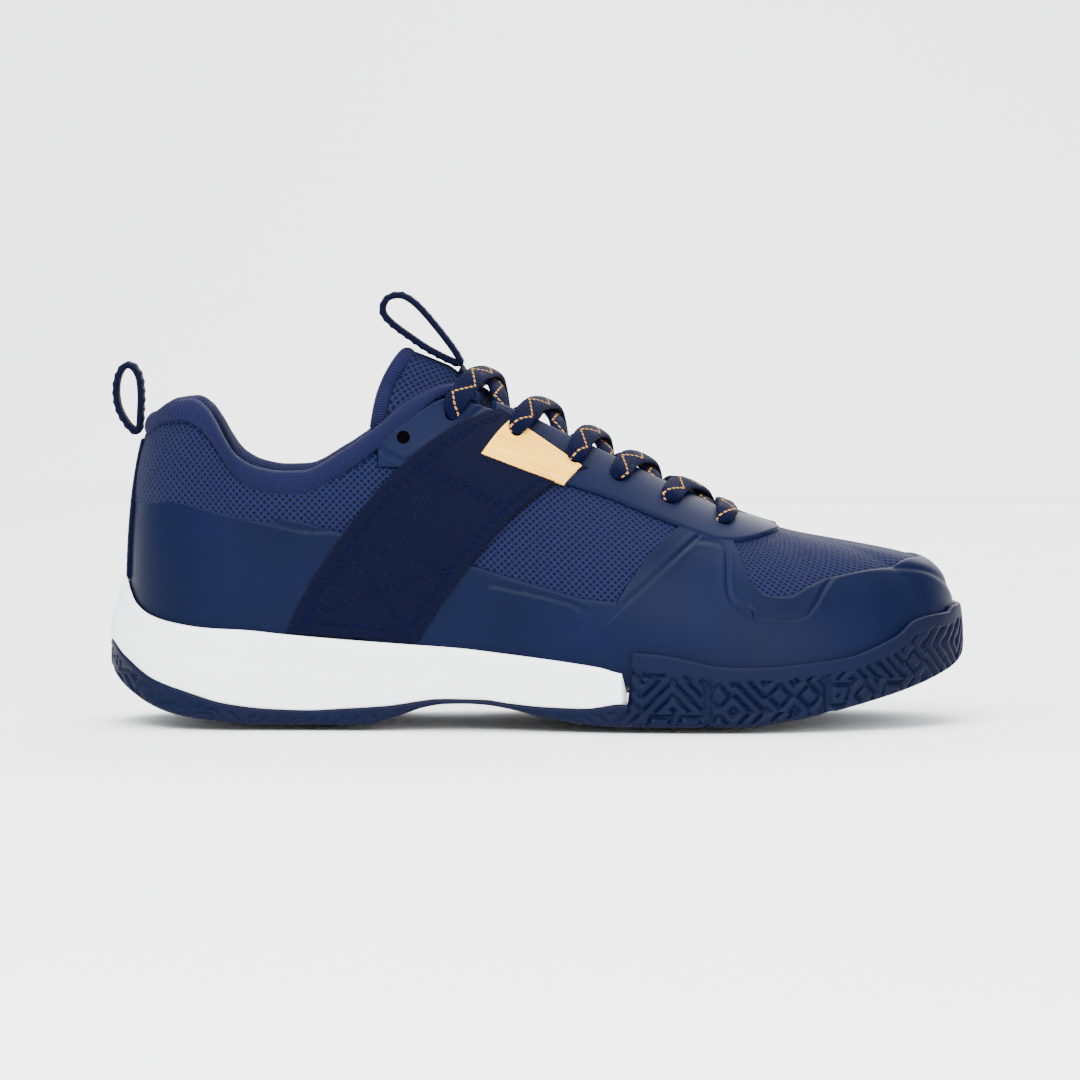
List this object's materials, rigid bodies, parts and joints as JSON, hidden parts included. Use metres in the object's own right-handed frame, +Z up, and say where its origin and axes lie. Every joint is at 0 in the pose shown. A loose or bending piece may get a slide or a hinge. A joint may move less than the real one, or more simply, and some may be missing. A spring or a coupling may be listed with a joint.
{
  "type": "court shoe",
  "caption": "Low-cut right court shoe for racket sports: cupped rubber outsole, white foam midsole, layered mesh upper with strap, laced throat, padded tongue and pull loops.",
  "frame": {"origin": "on the floor under the middle of the shoe's bounding box", "axes": "+X to the toe, +Y to the inner (medial) side, +Z up; the outer (lateral) side faces -Y"},
  "size_m": [0.2966, 0.1072, 0.1469],
  "materials": {
    "aglet_film": "clear film over the lace's end",
    "collar_knit": "ribbed knit over foam, slight sheen",
    "foam": "open-cell padding foam, hidden",
    "lining": "brushed jersey lining",
    "mesh_fabric": "open engineered mesh with a diamond lattice",
    "pu_skin": "smooth coated synthetic leather, low sheen, fine dimples",
    "gold_foil": "gold foil print with a fine horizontal streak",
    "stiffener": "moulded stiffener, hidden",
    "webbing": "diagonal twill webbing",
    "lace_cord": "flat woven lace with tan tracer threads",
    "white_foam": "white moulded foam with a fine diagonal texture",
    "navy_rubber": "matt solid rubber with a moulded tread",
    "shank": "moulded arch plate",
    "sockliner": "foam insole with a cloth top",
    "board": "stitched inner board, hidden"
  },
  "bodies": {
    "shoe": {"aglet_lateral": "aglet_film", "aglet_medial": "aglet_film", "collar_binding": "collar_knit", "collar_foam_lateral": "foam", "collar_foam_medial": "foam", "collar_lining": "lining", "eyelet_tab_lateral": "pu_skin", "eyelet_tab_medial": "pu_skin", "eyestay": "pu_skin", "foil_bar_lateral": "gold_foil", "foil_bar_medial": "gold_foil", "heel_counter": "stiffener", "heel_overlay_lateral": "pu_skin", "heel_overlay_medial": "pu_skin", "heel_seam_strip": "webbing", "lace": "lace_cord", "midfoot_overlay_lateral": "pu_skin", "midfoot_overlay_medial": "pu_skin", "midsole": "white_foam", "outsole": "navy_rubber", "quarter_lining_lateral": "lining", "quarter_lining_medial": "lining", "quarter_mesh_lateral": "mesh_fabric", "quarter_mesh_medial": "mesh_fabric", "shank_plate": "shank", "strobel_board": "board", "toe_overlay": "pu_skin", "toe_puff": "stiffener", "vamp_lining": "lining", "vamp_mesh": "mesh_fabric", "webbing_strap_lateral": "webbing", "webbing_strap_medial": "webbing"},
    "tongue": {"tongue_face": "mesh_fabric", "tongue_foam": "foam", "tongue_lining": "lining", "tongue_binding": "collar_knit"},
    "tongue_loop": {"tongue_pull_loop": "webbing"},
    "heel_loop": {"heel_pull_loop": "webbing"},
    "insole": {"sockliner": "sockliner"}
  },
  "joints": [
    {"name": "tongue_hinge", "type": "hinge", "parent": "shoe", "child": "tongue", "pos_m": [0.0739, 0.00382, 0.05962], "axis": [0, -1, 0], "range_deg": [0, 8], "stiffness_Nm_per_rad": 0.5},
    {"name": "tongue_loop_hinge", "type": "hinge", "parent": "tongue", "child": "tongue_loop", "pos_m": [-0.0245, 0.0015, 0.1192], "axis": [0, 1, 0], "range_deg": [0, 60], "stiffness_Nm_per_rad": 0.005},
    {"name": "heel_loop_hinge", "type": "hinge", "parent": "shoe", "child": "heel_loop", "pos_m": [-0.1386, 0, 0.0976], "axis": [0, -1, 0], "range_deg": [0, 70], "stiffness_Nm_per_rad": 0.005},
    {"name": "insole_lift", "type": "hinge", "parent": "shoe", "child": "insole", "pos_m": [0.12479, 0.003, 0.02194], "axis": [0, 1, 0], "range_deg": [0, 5]}
  ]
}
